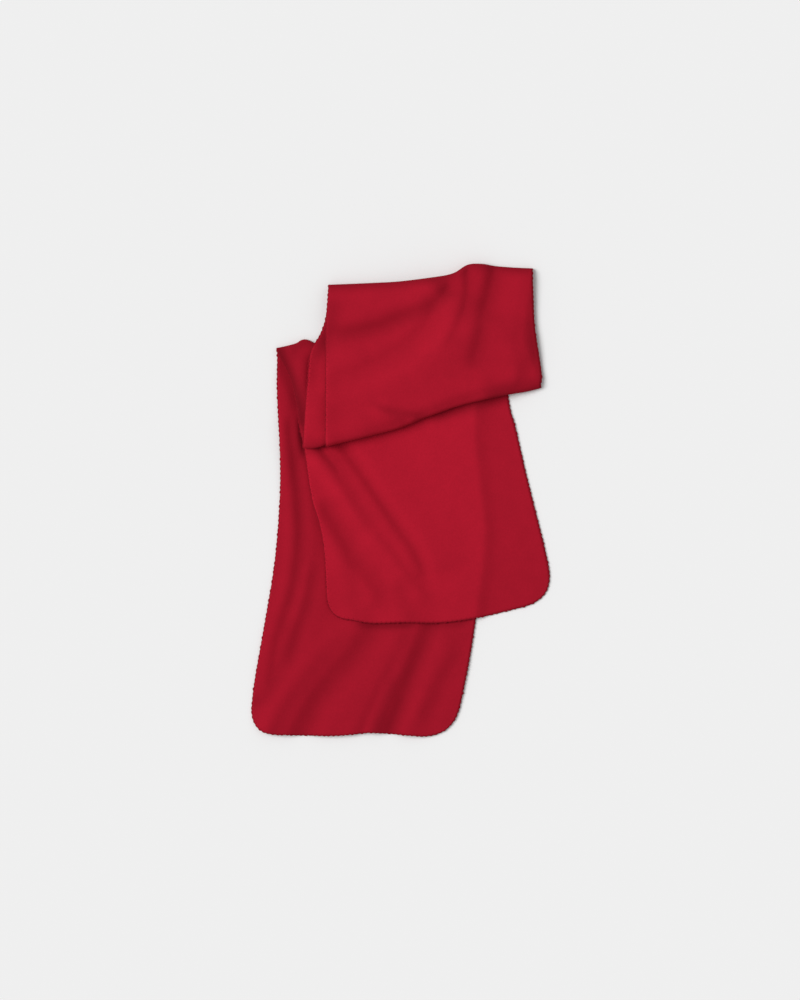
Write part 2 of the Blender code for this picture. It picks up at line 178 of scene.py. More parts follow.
# Troughs: stretch, strength at the path's start and at its end, how much darker the hollow is painted, as
# painted shade, then for the left side and for the right side the height of the shoulder, the breadth of the
# wall that leads up to it and the breadth of its far slope, and last the path of the trough's bottom.
TROUGHS = [
    # lower end: the long trough by its left edge, and a fainter one beside it
    ("lower_end", 0.4, 1.0, 0.17, (0.0055, 0.009, 0.012), (0.0020, 0.008, 0.014),
     [(-0.166, -0.252), (-0.160, -0.222), (-0.154, -0.183), (-0.142, -0.142), (-0.132, -0.107),
      (-0.126, -0.058), (-0.127, -0.010), (-0.133, 0.045), (-0.137, 0.085), (-0.139, 0.112)]),
    ("lower_end", 0.9, 0.5, 0.16, (0.0034, 0.009, 0.008), (0.0022, 0.010, 0.020),
     [(-0.142, -0.217), (-0.136, -0.187), (-0.126, -0.157), (-0.115, -0.127), (-0.106, -0.075)]),
    # the fan of slanting folds at its hem
    ("lower_end", 1.6, 0.5, 0.11, (0.0034, 0.012, 0.018), (0.0004, 0.008, 0.006),
     [(-0.166, -0.320), (-0.150, -0.285), (-0.134, -0.255), (-0.110, -0.222), (-0.084, -0.192),
      (-0.062, -0.170)]),
    ("lower_end", 1.0, 0.8, 0.14, (0.0065, 0.018, 0.024), (0.0045, 0.016, 0.030),
     [(-0.133, -0.322), (-0.121, -0.293), (-0.108, -0.266), (-0.088, -0.237), (-0.060, -0.205),
      (-0.040, -0.178), (-0.026, -0.150)]),
    ("lower_end", 1.0, 0.5, 0.07, (0.0042, 0.010, 0.030), (0.0004, 0.006, 0.006),
     [(-0.058, -0.320), (-0.044, -0.290), (-0.030, -0.258), (-0.008, -0.215), (0.009, -0.180),
      (0.017, -0.150)]),
    ("lower_end", 1.4, 0.8, 0.17, (0.0052, 0.014, 0.020), (0.0044, 0.013, 0.026),
     [(-0.024, -0.322), (-0.014, -0.298), (-0.001, -0.265), (0.017, -0.218), (0.032, -0.180),
      (0.045, -0.145)]),
    ("lower_end", 0.7, 0.45, 0.08, (0.0034, 0.012, 0.016), (0.0022, 0.013, 0.016),
     [(0.028, -0.290), (0.048, -0.245), (0.067, -0.213), (0.084, -0.182)]),
    # the gaps that it leaves below the upper end's hem, with painted shadow in them
    ("lower_end", 1.0, 1.0, 0.58, (0.0030, 0.003, 0.008), (0.0, 0.0024, 0.003),
     [(-0.062, -0.1560), (-0.040, -0.1602), (-0.014, -0.1606), (0.006, -0.1598), (0.026, -0.1586)]),
    ("lower_end", 1.0, 0.7, 0.42, (0.0024, 0.003, 0.008), (0.0, 0.0024, 0.003),
     [(0.014, -0.1590), (0.034, -0.1600), (0.050, -0.1600), (0.072, -0.1586), (0.092, -0.1540)]),
    # beside the fold-back at the top left, where the lower end comes down to it, and the painted shadow in
    # the gap below its end
    ("lower_end", 0.6, 0.8, 0.10, (0.0036, 0.007, 0.030), (0.0, 0.007, 0.008),
     [(-0.1235, 0.048), (-0.126, 0.066), (-0.1285, 0.085), (-0.131, 0.104), (-0.1345, 0.125),
      (-0.140, 0.145), (-0.148, 0.165), (-0.155, 0.182)]),
    ("lower_end", 1.0, 1.0, 0.60, (0.0034, 0.003, 0.008), (0.0, 0.003, 0.004),
     [(-0.1225, 0.050), (-0.1245, 0.062), (-0.1270, 0.078), (-0.1290, 0.095), (-0.131, 0.110)]),
    # upper end: the long folds that slant down from under the band's corner
    ("upper_end", 0.45, 0.8, 0.22, (0.0090, 0.013, 0.018), (0.0030, 0.015, 0.020),
     [(-0.014, -0.131), (-0.023, -0.116), (-0.036, -0.096), (-0.057, -0.071), (-0.071, -0.045),
      (-0.088, -0.016), (-0.101, 0.008)]),
    ("upper_end", 0.3, 1.0, 0.17, (0.0095, 0.014, 0.011), (0.0010, 0.009, 0.008),
     [(-0.024, -0.039), (-0.034, -0.024), (-0.054, 0.004), (-0.074, 0.036), (-0.096, 0.064),
      (-0.112, 0.092)]),
    # its small open hollow right at that corner, painted dark as shade, and a third long fold to the right
    # of it
    ("upper_end", 0.3, 1.0, 0.46, (0.0020, 0.0034, 0.006), (0.0020, 0.0034, 0.006),
     [(-0.072, 0.022), (-0.080, 0.034), (-0.088, 0.045), (-0.095, 0.0535), (-0.102, 0.062),
      (-0.109, 0.071), (-0.117, 0.082)]),
    ("upper_end", 0.75, 1.0, 0.14, (0.0045, 0.008, 0.030), (0.0055, 0.009, 0.034),
     [(0.0345, -0.1025), (0.0285, -0.0855), (0.0155, -0.0595), (-0.0052, -0.0295), (-0.0258, 0.000),
      (-0.046, 0.030), (-0.070, 0.062), (-0.086, 0.086)]),
    # front band: where it comes down off the layers below, a faint fold below that, and two from its top
    ("front_band", 0.9, 1.0, 0.19, (0.0105, 0.012, 0.060), (0.0, 0.008, 0.010),
     [(-0.128, 0.203), (-0.091, 0.204), (-0.060, 0.208), (-0.026, 0.216), (0.000, 0.226), (0.027, 0.2365),
      (0.051, 0.2495), (0.068, 0.272)]),
    ("front_band", 1.0, 1.0, 0.07, (0.0044, 0.012, 0.022), (0.0, 0.012, 0.010),
     [(-0.100, 0.138), (-0.050, 0.160), (0.000, 0.186), (0.025, 0.206), (0.042, 0.229), (0.050, 0.252)]),
    ("front_band", 0.5, 1.0, 0.09, (0.0046, 0.0065, 0.045), (0.0, 0.010, 0.010),
     [(0.054, 0.184), (0.0712, 0.213), (0.0800, 0.236), (0.0850, 0.261), (0.0855, 0.290),
      (0.085, 0.310)]),
    ("front_band", 0.40, 1.0, 0.21, (0.0092, 0.011, 0.050), (0.0, 0.011, 0.018),
     [(0.0905, 0.160), (0.0978, 0.187), (0.1038, 0.211), (0.1082, 0.241), (0.1152, 0.265),
      (0.1225, 0.300), (0.1265, 0.318)]),
    # a slight one by its right edge, and the puckers above its lower fold
    ("front_band", 1.0, 0.5, 0.10, (0.0009, 0.003, 0.008), (0.0004, 0.003, 0.004),
     [(0.1725, 0.172), (0.170, 0.184), (0.167, 0.202), (0.1645, 0.222), (0.163, 0.240)]),
    ("front_band", 0.6, 1.0, 0.32, (0.0035, 0.0034, 0.008), (0.0030, 0.0034, 0.010),
     [(0.056, 0.1125), (0.040, 0.1082), (0.024, 0.1066), (0.008, 0.1080), (-0.006, 0.1105),
      (-0.020, 0.1142), (-0.034, 0.1195)]),
    ("front_band", 1.0, 1.0, 0.12, (0.0030, 0.004, 0.008), (0.0010, 0.004, 0.008),
     [(0.012, 0.098), (-0.002, 0.1035), (-0.012, 0.1085), (-0.024, 0.1155), (-0.040, 0.1250)]),
    # the fold-back at the top left: it lies in a hollow beside the lower end's rim, painted dark as shade
    ("return", 1.0, 1.0, 0.50, (0.0, 0.014, 0.014), (0.0040, 0.013, 0.014),
     [(-0.122, 0.080), (-0.124, 0.091), (-0.128, 0.112), (-0.133, 0.131), (-0.140, 0.146),
      (-0.146, 0.162), (-0.153, 0.180), (-0.158, 0.200), (-0.160, 0.215)]),
]
# Ridges: stretch, height, breadth on the left and on the right of the path, path
RIDGES = [
    # front band: the long ridge across it, and the swellings of its right part
    ("front_band", 0.0087, 0.023, 0.044,
     [(-0.122, 0.103), (-0.084, 0.119), (-0.034, 0.137), (0.016, 0.161), (0.042, 0.184), (0.058, 0.207),
      (0.067, 0.235), (0.070, 0.265)]),
    ("front_band", 0.0050, 0.045, 0.026,
     [(0.104, 0.112), (0.114, 0.134), (0.120, 0.156)]),
    ("front_band", 0.0042, 0.030, 0.026,
     [(0.146, 0.166), (0.149, 0.205), (0.150, 0.250), (0.149, 0.290)]),
    ("front_band", 0.0022, 0.010, 0.016,
     [(0.1545, 0.112), (0.1575, 0.140), (0.1595, 0.165), (0.1625, 0.192), (0.1655, 0.220)]),
    # upper end: between the lower ends of its long folds
    ("upper_end", 0.0034, 0.008, 0.028,
     [(-0.044, -0.036), (-0.020, -0.066), (0.000, -0.094), (0.024, -0.120), (0.036, -0.133)]),
    # the fold-back at the top left, and the strip beside the band
    ("return", 0.0034, 0.010, 0.0065,
     [(-0.1275, 0.112), (-0.1255, 0.140), (-0.124, 0.165), (-0.121, 0.195)]),
    ("under_band", 0.0020, 0.014, 0.010,
     [(-0.0925, 0.040), (-0.0925, 0.090), (-0.0925, 0.140), (-0.0920, 0.190)]),
    # the band's upper left stays level with the rest of it
    ("under_band", 0.0065, 0.055, 0.040,
     [(-0.095, 0.203), (-0.060, 0.208), (-0.026, 0.216), (0.000, 0.226), (0.026, 0.238), (0.044, 0.252),
      (0.054, 0.272)]),
]

# how much the upper layer swells beside each fold, and how far in
FOLD_SWELL = {"top_fold": (0.0022, 0.012), "lower_fold": (0.0012, 0.014), "return_fold": (0.0010, 0.008),
              "end_fold": (0.0010, 0.010)}

# ---------------------------------------------------------------- the nap, and painted light and shade
# The tone multiplies the cloth's colour. It is partly nap that is pressed or lies the other way, which looks
# deeper, and partly painted light and shade: brighter where light falls fully, darker where shade falls.
# Each stretch's tone where it starts and where it ends:
NAP_AND_PAINTED_LIGHT = {"lower_end": (0.995, 1.02), "return": (0.90, 0.93), "under_band": (1.0, 1.0),
       "front_band": (0.955, 1.02), "tuck": (1.0, 1.14), "upper_end": (1.14, 0.99)}
SINGLE_LAYER_SHADE = 0.885             # cloth that lies singly on the floor: painted shade, darker than where layers lie doubled
EDGE_SHADE_TONE = 0.57                # the rolled edge: darker for its tighter packing, and painted shade along the edge
# painted shade along a fold: how much darker the colour is at the fold's left end and right end, and how far
# in from the fold this reaches
FOLD_PAINTED_SHADE = {"end_fold": (0.16, 0.16, 0.003), "return_fold": (0.12, 0.04, 0.005),
               "top_fold": (0.22, 0.22, 0.004), "lower_fold": (0.0, 0.13, 0.005),
               "tuck_fold": (0.0, 0.0, 0.002)}
# a path down the left side at the band's upper corner, painted darker
DARKENED_CORNER = [(-0.112, 0.172), (-0.099, 0.194), (-0.0915, 0.212), (-0.0885, 0.234), (-0.0885, 0.260)]
# Painted shade, deeper in colour where shade falls and the cloth has no trough of its own: stretches,
# strength at the path's start and at its end, how much deeper the colour is on the path, breadth on the left
# and on the right, and the path.
PAINTED_SHADE_PATHS = [
    # lower end: by its left edge above the hem, and along one fold of the fan
    (("lower_end",), 1.0, 1.0, 0.13, 0.009, 0.009,
     [(-0.205, -0.262), (-0.184, -0.256), (-0.167, -0.246), (-0.157, -0.225), (-0.151, -0.195),
      (-0.147, -0.165), (-0.142, -0.135)]),
    (("lower_end",), 1.0, 0.6, 0.27, 0.010, 0.010,
     [(-0.044, -0.335), (-0.034, -0.300), (-0.025, -0.272), (-0.014, -0.245), (-0.004, -0.220)]),
    # at the top left, where the lower end's rim comes down to the fold-back, and on the fold-back's top
    (("return", "lower_end"), 1.0, 1.0, 0.22, 0.006, 0.006,
     [(-0.176, 0.216), (-0.162, 0.191), (-0.153, 0.170), (-0.146, 0.158), (-0.141, 0.146),
      (-0.134, 0.125), (-0.128, 0.104)]),
    (("return",), 1.0, 1.0, 0.20, 0.007, 0.007,
     [(-0.126, 0.222), (-0.1345, 0.198), (-0.137, 0.178), (-0.139, 0.152)]),
    # beside the strip of the under band that shows at the left
    (("return", "lower_end"), 1.0, 1.0, 0.26, 0.004, 0.004,
     [(-0.121, 0.046), (-0.1235, 0.075), (-0.1245, 0.098), (-0.1235, 0.122), (-0.122, 0.142),
      (-0.121, 0.156)]),
    # upper end: above its hem
    (("upper_end",), 1.0, 1.0, 0.12, 0.012, 0.012,
     [(0.030, -0.182), (0.012, -0.150), (-0.001, -0.125), (-0.011, -0.102)]),
    (("upper_end",), 1.0, 1.0, 0.12, 0.012, 0.012,
     [(-0.053, -0.172), (-0.057, -0.140), (-0.061, -0.110), (-0.066, -0.080), (-0.070, -0.060)]),
    # upper end: the band's painted shadow right under its lower fold, where the band stands off it, and
    # under its left corner
    (("upper_end",), 1.0, 0.5, 0.42, 0.005, 0.006,
     [(0.036, 0.1010), (0.052, 0.1070), (0.071, 0.1125), (0.103, 0.1205), (0.128, 0.1264),
      (0.152, 0.1325)]),
    (("upper_end",), 1.0, 0.5, 0.24, 0.005, 0.005,
     [(-0.150, 0.052), (-0.134, 0.057), (-0.119, 0.0605), (-0.108, 0.062), (-0.098, 0.066),
      (-0.088, 0.082), (-0.078, 0.100)]),
    # painted shade along the right end of the band's lower fold, where the band is fullest
    (("front_band", "tuck"), 1.0, 1.0, 0.27, 0.010, 0.010,
     [(0.206, 0.153), (0.182, 0.147), (0.160, 0.142), (0.136, 0.138), (0.112, 0.133), (0.098, 0.130)]),
    # the band's upper left corner, and between the folds from its top edge
    (("front_band",), 1.0, 1.0, 0.24, 0.010, 0.012, DARKENED_CORNER),
    (("under_band",), 1.0, 1.0, 0.30, 0.010, 0.010, DARKENED_CORNER),
    (("front_band",), 1.0, 1.0, 0.16, 0.010, 0.010,
     [(0.047, 0.240), (0.053, 0.262), (0.060, 0.285), (0.066, 0.310)]),
]

# ---------------------------------------------------------------- materials, light and camera
SCARF_RED = (0.385, 0.0076, 0.0225, 1.0)
THREAD_RED = (0.285, 0.0056, 0.0166, 1.0)
FLOOR_GREY = (0.863, 0.863, 0.863, 1.0)
# the fleece's mottling and the specks of its pile: size, change of colour, detail
MOTTLING = [(0.018, 0.05, 3.0), (0.0022, 0.08, 2.0)]
NOISE_LOW = 0.3                 # a noise texture's values lie mostly between these two
NOISE_HIGH = 0.7
# bumps: size, strength, height
PILE = [(0.0026, 0.35, 0.0005), (0.0008, 0.25, 0.0002)]     # soft tufts, with finer fuzz on them
PLIES = [(0.0004, 0.4, 0.0001)]                             # the thread's twist
FLOOR_GRAIN = [(0.05, 0.02, 0.0005)]

SKY = 0.46                      # the white sky's strength
SUN = 2.30                      # the broad light's strength
SUN_ANGLE = 40                  # its breadth in degrees
SUN_FROM = (-0.65, 0.17, 0.74)  # the direction that it comes from
FLOOR_HALF = 4.0
LENS = 135                      # in millimetres, as the sensor is
SENSOR = 36
CLIP_END = 50                   # in metres
VIEW_HEIGHT = 1.268             # how much of the floor the picture's height takes in
VIEW_LEVEL = 0.006              # the height above the floor at which that is measured
VIEW_SHIFT_X = -0.0007          # the picture's middle, to the right of the CAD box's middle


# ---------------------------------------------------------------- plan curves
def curve_through(points):
    """A smooth curve through the points (centred differences, cubic spans), densely sampled."""
    points = np.array(points, float)
    before = np.vstack([2 * points[0] - points[1], points[:-1]])
    after = np.vstack([points[1:], 2 * points[-1] - points[-2]])
    slopes = (after - before) / 2
    t = np.linspace(0, 1, CURVE_STEPS, endpoint=False)[:, None]
    spans = []
    for i in range(len(points) - 1):
        a, b = points[i], points[i + 1]
        p, q = slopes[i], slopes[i + 1]
        spans.append((2 * t**3 - 3 * t**2 + 1) * a + (t**3 - 2 * t**2 + t) * p
                     + (3 * t**2 - 2 * t**3) * b + (t**3 - t**2) * q)
    return np.vstack(spans + [points[-1:]])


def lengths_along(curve):
    """The distance from the curve's start to each of its points."""
    return np.concatenate([[0], np.cumsum(np.linalg.norm(np.diff(curve, axis=0), axis=1))])


def at_lengths(curve, where):
    """Points of the curve at the given distances from its start."""
    run = lengths_along(curve)
    return np.stack([np.interp(where, run, curve[:, k]) for k in range(curve.shape[1])], axis=-1)


def resample(curve, cells):
    """The curve as evenly spaced points, one more than the cells."""
    return at_lengths(curve, np.linspace(0, lengths_along(curve)[-1], cells + 1))


def trim(curve, start=0.0, end=0.0):
    """The curve without the given lengths at its start and end."""
    total = lengths_along(curve)[-1]
    return at_lengths(curve, np.linspace(start, total - end, len(curve)))


def corner_arc(before, corner, after):
    """A round corner: a curve that leaves towards the corner and arrives from it."""
    t = np.linspace(0, 1, ROUND_STEPS)[:, None]
    return (1 - t)**2 * before + 2 * t * (1 - t) * corner + t**2 * after


def inward(line, towards):
    """Unit vectors across a plan curve, pointing to the side on which the given point lies."""
    along = np.gradient(line, axis=0)
    across = np.stack([-along[:, 1], along[:, 0]], axis=1)
    across /= np.linalg.norm(across, axis=1)[:, None]
    side = np.sign(np.sum(across * (towards - line.mean(axis=0)), axis=1))
    return across * side[:, None]


def fold_parts(name):
    """A fold's line in plan at the strip's columns, and the line in from it where the rounding starts."""
    line = resample(trim(curve_through(FOLD_LINES[name]), start=EDGE_INSET, end=EDGE_INSET), COLUMNS)
    return line, line + inward(line, np.array(BAND_MIDDLE)) * FOLD_REACH[name]


def round_end(hem, left, right, cuts):
    """The hem and the two edges that leave it, with the corners between them rounded."""
    middle = ROUND_STEPS // 2
    sides = []
    hem_parts = []
    corners = ((hem[0], left, hem, cuts[0]), (hem[-1], right, hem[::-1], cuts[1]))
    for corner, edge, along_hem, cut in corners:
        on_edge = at_lengths(edge, np.array([cut]))[0]
        on_hem = at_lengths(along_hem, np.array([cut]))[0]
        arc = corner_arc(on_edge, corner, on_hem)
        sides.append(np.vstack([arc[middle::-1], trim(edge, start=cut)[1:]]))
        hem_parts.append(arc[middle:])
    straight = trim(hem, start=cuts[0], end=cuts[1])
    new_hem = np.vstack([hem_parts[0], straight[1:-1], hem_parts[1][::-1]])
    return new_hem, sides[0], sides[1]


def under_the_edge(curve, middle):
    """A hem or edge moved in under the overcasting; a single point stays where it is."""
    curve = np.array(curve)
    return curve + inward(curve, middle) * EDGE_INSET if len(curve) > 1 else curve


def patch(start, end, left, right, rows):
    """Plan points between four boundary curves; the corners are shared."""
    start, end = resample(start, COLUMNS), resample(end, COLUMNS)
    left, right = resample(left, rows), resample(right, rows)
    u = np.linspace(0, 1, COLUMNS + 1)[None, :, None]
    v = np.linspace(0, 1, rows + 1)[:, None, None]
    between_sides = (1 - u) * left[:, None] + u * right[:, None]
    between_lines = (1 - v) * start[None] + v * end[None]
    corners = ((1 - u) * (1 - v) * left[0] + u * (1 - v) * right[0]
               + (1 - u) * v * left[-1] + u * v * right[-1])
    return between_sides + between_lines - corners


def boundary(line_name):
    """The curve in plan at which a stretch starts or ends: a hem, or where a fold's rounding starts."""
    if line_name in END_LINES:
        return curve_through(END_LINES[line_name])
    return fold_parts(line_name)[1]


def stretch_plan(name):
    """Plan points of one stretch, from where its first fold's rounding ends to where the next begins."""
    start_name, end_name = STRETCHES[name]
    start, end = boundary(start_name), boundary(end_name)
    middle = (start.mean(axis=0) + end.mean(axis=0)) / 2
    left = under_the_edge(LEFT_EDGES[name], middle)
    right = under_the_edge(RIGHT_EDGES[name], middle)
    if start_name in END_LINES:
        start = under_the_edge(start, middle)
    if end_name in END_LINES:
        end = under_the_edge(end, middle)
    left = curve_through(np.vstack([start[0], left, end[0]]))
    right = curve_through(np.vstack([start[-1], right, end[-1]]))
    if start_name in END_LINES:
        start, left, right = round_end(start, left, right, CORNER_CUT[start_name])
    if end_name in END_LINES:
        end, left_back, right_back = round_end(end, left[::-1], right[::-1], CORNER_CUT[end_name])
        left, right = left_back[::-1], right_back[::-1]
    rows = round((lengths_along(left)[-1] + lengths_along(right)[-1]) / 2 / ROW_STEP)
    return patch(start, end, left, right, rows)


# ---------------------------------------------------------------- heights
MAP_X = np.arange(-MAP_HALF_X, MAP_HALF_X + MAP_STEP / 2, MAP_STEP)
MAP_Y = np.arange(-MAP_HALF_Y, MAP_HALF_Y + MAP_STEP / 2, MAP_STEP)
GRID_X, GRID_Y = np.meshgrid(MAP_X, MAP_Y)


def shifted(heights, rows, columns):
    """The map moved by whole cells, its border values repeated."""
    reach = max(abs(rows), abs(columns))
    wide = np.pad(heights, reach, mode="edge")
    top, side = reach + rows, reach + columns
    return wide[top:top + heights.shape[0], side:side + heights.shape[1]]


def spread(heights, cells):
    """Each height carried out to every cell within the given number of cells."""
    out = heights.copy()
    for i in range(-cells, cells + 1):
        for j in range(-cells, cells + 1):
            if math.hypot(i, j) < cells + 0.5:
                out = np.maximum(out, shifted(heights, i, j))
    return out


def soften(heights, passes):
    """Light smoothing passes, with weights 1, 2, 1 each way."""
    for _ in range(passes):
        heights = (shifted(heights, -1, 0) + 2 * heights + shifted(heights, 1, 0)) / 4
        heights = (shifted(heights, 0, -1) + 2 * heights + shifted(heights, 0, 1)) / 4
    return heights


def drape(under):
    """The underside of a cloth laid on the given heights: it bridges hollows and rounds off edges."""
    support = spread(under, SPREAD_CELLS)
    cloth = support
    for _ in range(SAG_PASSES):
        cloth = np.maximum(support, soften(cloth, 1))
    return np.maximum(soften(cloth, DRAPE_PASSES), under)


def inside(outline):
    """The map's cells that lie inside a closed outline."""
    found = np.zeros(GRID_X.shape, bool)
    for (x1, y1), (x2, y2) in zip(outline, np.roll(outline, -1, axis=0)):
        if y1 == y2:
            continue
        crosses = (y1 > GRID_Y) != (y2 > GRID_Y)
        found ^= crosses & (GRID_X < (x2 - x1) * (GRID_Y - y1) / (y2 - y1) + x1)
    return found


def smoothstep(x):
    """A smooth rise from 0 to 1 while x goes from 0 to 1."""
    x = np.clip(x, 0, 1)
    return x * x * (3 - 2 * x)


def from_path(path):
    """For every cell: its distance from a path, if it is on the left, how far along; and the length."""
    path = np.array(path)
    run = lengths_along(path)
    nearest = np.full(GRID_X.shape, np.inf)
    along = np.zeros(GRID_X.shape)
    on_left = np.zeros(GRID_X.shape, bool)
    for i in range(len(path) - 1):
        (ax, ay), (bx, by) = path[i], path[i + 1]
        dx, dy = bx - ax, by - ay
        t = np.clip(((GRID_X - ax) * dx + (GRID_Y - ay) * dy) / (dx * dx + dy * dy), 0, 1)
        gap = np.hypot(GRID_X - ax - t * dx, GRID_Y - ay - t * dy)
        closer = gap < nearest
        nearest = np.where(closer, gap, nearest)
        along = np.where(closer, run[i] + t * (run[i + 1] - run[i]), along)
        on_left = np.where(closer, dx * (GRID_Y - ay) - dy * (GRID_X - ax) > 0, on_left)
    return nearest, on_left, along, run[-1]


def beside(path, first, last):
    """For every cell: its distance from a path, negative on the left, and the strength of the crease."""
    gap, on_left, along, length = from_path(resample(curve_through(path), PATH_STEPS * len(path)))
    fade_in = smoothstep(along / CREASE_FADE + FADE_START)
    fade_out = smoothstep((length - along) / CREASE_FADE + FADE_START)
    strength = first + (last - first) * (along / length)
    return np.where(on_left, -gap, gap), strength * (fade_in * fade_out)


def bell(across, left, right):
    """One on a path, and falling off to both sides with a breadth for each."""
    return np.exp(-(across / np.where(across < 0, left, right))**2)


def shoulder(away, height, wall, slope):
    """The profile of one side of a trough: a wall up from its bottom, and the far slope of the shoulder."""
    return height * (1 - np.exp(-(away / wall)**2)) * np.exp(-(np.maximum(away - wall, 0) / slope)**2)


def creases(name):
    """The heights of a stretch's own creases, and the shade painted in its troughs."""
    heights = np.zeros(GRID_X.shape)
    deeper = np.zeros(GRID_X.shape)
    for stretch, first, last, depth, left, right, path in TROUGHS:
        if stretch == name:
            across, strength = beside(path, first, last)
            heights += strength * np.where(across < 0, shoulder(-across, *left), shoulder(across, *right))
            deeper = np.maximum(deeper, strength * depth * bell(across, left[1], right[1]))
    for stretch, height, left, right, path in RIDGES:
        if stretch == name:
            across, strength = beside(path, height, height)
            heights += strength * bell(across, left, right)
    return heights, deeper


def from_fold(fold):
    """For every cell: its distance from where a fold's rounding starts, and the share of the fold passed."""
    gap, _, along, length = from_path(fold_parts(fold)[1][::FOLD_STRIDE])
    return gap, along / length


def upper_layer(fold):
    """The stretch that lies on top at a fold."""
    return max((name for name, lines in STRETCHES.items() if fold in lines), key=STACK_ORDER.index)


def fold_swell(name):
    """How far a stretch swells beside the folds where it is the upper layer."""
    total = np.zeros(GRID_X.shape)
    for fold in STRETCHES[name]:
        if fold in FOLD_SWELL and name == upper_layer(fold):
            height, width = FOLD_SWELL[fold]
            gap, _ = from_fold(fold)
            total += height * np.exp(-(gap / width)**2)
    return total


def painted_shade_map(name):
    """How much darker a stretch is painted, as shade beside its folds and along the painted-shade paths."""
    deeper = np.zeros(GRID_X.shape)
    for fold in STRETCHES[name]:
        if fold in FOLD_PAINTED_SHADE:
            left, right, reach = FOLD_PAINTED_SHADE[fold]
            gap, share = from_fold(fold)
            deeper = np.maximum(deeper, (left + (right - left) * share) * np.exp(-(gap / reach)**2))
    for stretches, first, last, depth, left, right, path in PAINTED_SHADE_PATHS:
        if name in stretches:
            across, strength = beside(path, first, last)
            deeper = np.maximum(deeper, strength * depth * bell(across, left, right))
    return deeper


def unevenness(seed):
    """Slow, small unevenness, the same in every run."""
    total = np.zeros(GRID_X.shape)
    for height, size in UNEVEN:
        coarse = np.array([[noise.noise(Vector((x / size, y / size, seed))) for x in MAP_X[::UNEVEN_STRIDE]]
                           for y in MAP_Y[::UNEVEN_STRIDE]])
        rows = np.linspace(0, coarse.shape[0] - 1, len(MAP_Y))
        cols = np.linspace(0, coarse.shape[1] - 1, len(MAP_X))
        part = np.array([np.interp(cols, range(coarse.shape[1]), line) for line in coarse])
        part = np.array([np.interp(rows, range(coarse.shape[0]), line) for line in part.T]).T
        total += height * soften(part, LAYER_PASSES)
    return total


def cubic_weights(t):
    """Weights of the four samples round a place, t between the middle two."""
    return [(-t + 2 * t**2 - t**3) / 2, (2 - 5 * t**2 + 3 * t**3) / 2,
            (t + 4 * t**2 - 3 * t**3) / 2, (t**3 - t**2) / 2]


def height_at(heights, points):
    """Heights of the map at plan points, smoothly between cells."""
    col = (points[..., 0] - MAP_X[0]) / MAP_STEP
    row = (points[..., 1] - MAP_Y[0]) / MAP_STEP
    i = np.clip(np.floor(row).astype(int), 1, len(MAP_Y) - 3)
    j = np.clip(np.floor(col).astype(int), 1, len(MAP_X) - 3)
    out = np.zeros(points.shape[:-1])
    for a, row_weight in enumerate(cubic_weights(row - i)):
        for b, col_weight in enumerate(cubic_weights(col - j)):
            out += row_weight * col_weight * heights[i + a - 1, j + b - 1]
    return out


def covered_cells(name, plan):
    """The map's cells that a stretch covers, out to the lines of its folds."""
    start, end = STRETCHES[name]
    last_row = fold_parts(end)[0] if end in FOLD_LINES else plan[-1]
    first_row = fold_parts(start)[0] if start in FOLD_LINES else plan[0]
    return inside(np.vstack([plan[:, 0], last_row, plan[::-1, -1], first_row[::-1]]))


def lay_stretches():
    """Each stretch's grid of points in space with their tone, laid from the bottom layer to the top one."""
    under = np.full(GRID_X.shape, FLOOR)
    cloth_below = np.zeros(GRID_X.shape)
    laid = {}
    for level, name in enumerate(STACK_ORDER):
        plan = stretch_plan(name)
        relief, crease_shade = creases(name)
        own = relief + fold_swell(name) + unevenness(level)
        middle = soften(np.maximum(drape(under) + own, under), LAYER_PASSES) + CLOTH / 2
        # the tone: nap and painted light, with painted shade on single layers, in troughs, beside folds and
        # on shade paths
        single = 1 - height_at(soften(cloth_below, LAYER_PASSES), plan)
        tone = np.linspace(*NAP_AND_PAINTED_LIGHT[name], len(plan))[:, None] * (1 - (1 - SINGLE_LAYER_SHADE) * np.clip(single, 0, 1))
        tone *= 1 - height_at(np.maximum(crease_shade, painted_shade_map(name)), plan)
        laid[name] = np.dstack([plan, height_at(middle, plan), tone])
        covered = covered_cells(name, plan)
        cloth_below = np.maximum(cloth_below, covered)
        under = np.where(covered, np.maximum(under, middle + CLOTH / 2 + LAYER_GAP), under)
    return laid


def fold_rows(name, first, last):
    """The rows that carry the strip round a fold, from the end of one layer to the start of the next."""
    line, start = fold_parts(name)
    middle = (first[:, 2] + last[:, 2]) / 2
    half = (last[:, 2] - first[:, 2]) / 2
    left, right, _ = FOLD_PAINTED_SHADE[name]
    deeper = np.linspace(left, right, len(line))
    rows = []
    for i in range(1, FOLD_ROWS):
        turn = np.pi * i / FOLD_ROWS
        plan = start + (line - start) * np.sin(turn)
        # painted shade round the fold, darkest halfway round
        tone = (first[:, 3] + (last[:, 3] - first[:, 3]) * i / FOLD_ROWS) * (1 - deeper * np.sin(turn))
        rows.append(np.column_stack([plan, middle - half * np.cos(turn), tone]))
    return np.array(rows)


def whole_strip():
    """The grid of points of the whole strip, row by row from the lower end to the upper end."""
    laid = lay_stretches()
    names = list(STRETCHES)
    blocks = [laid[names[0]]]
    for name, next_name in zip(names, names[1:]):
        blocks.append(fold_rows(STRETCHES[name][1], laid[name][-1], laid[next_name][0]))
        blocks.append(laid[next_name])
    strip = np.concatenate(blocks)
    for _ in range(ROW_PASSES):
        strip[1:-1] = (strip[:-2] + 2 * strip[1:-1] + strip[2:]) / 4
    return strip


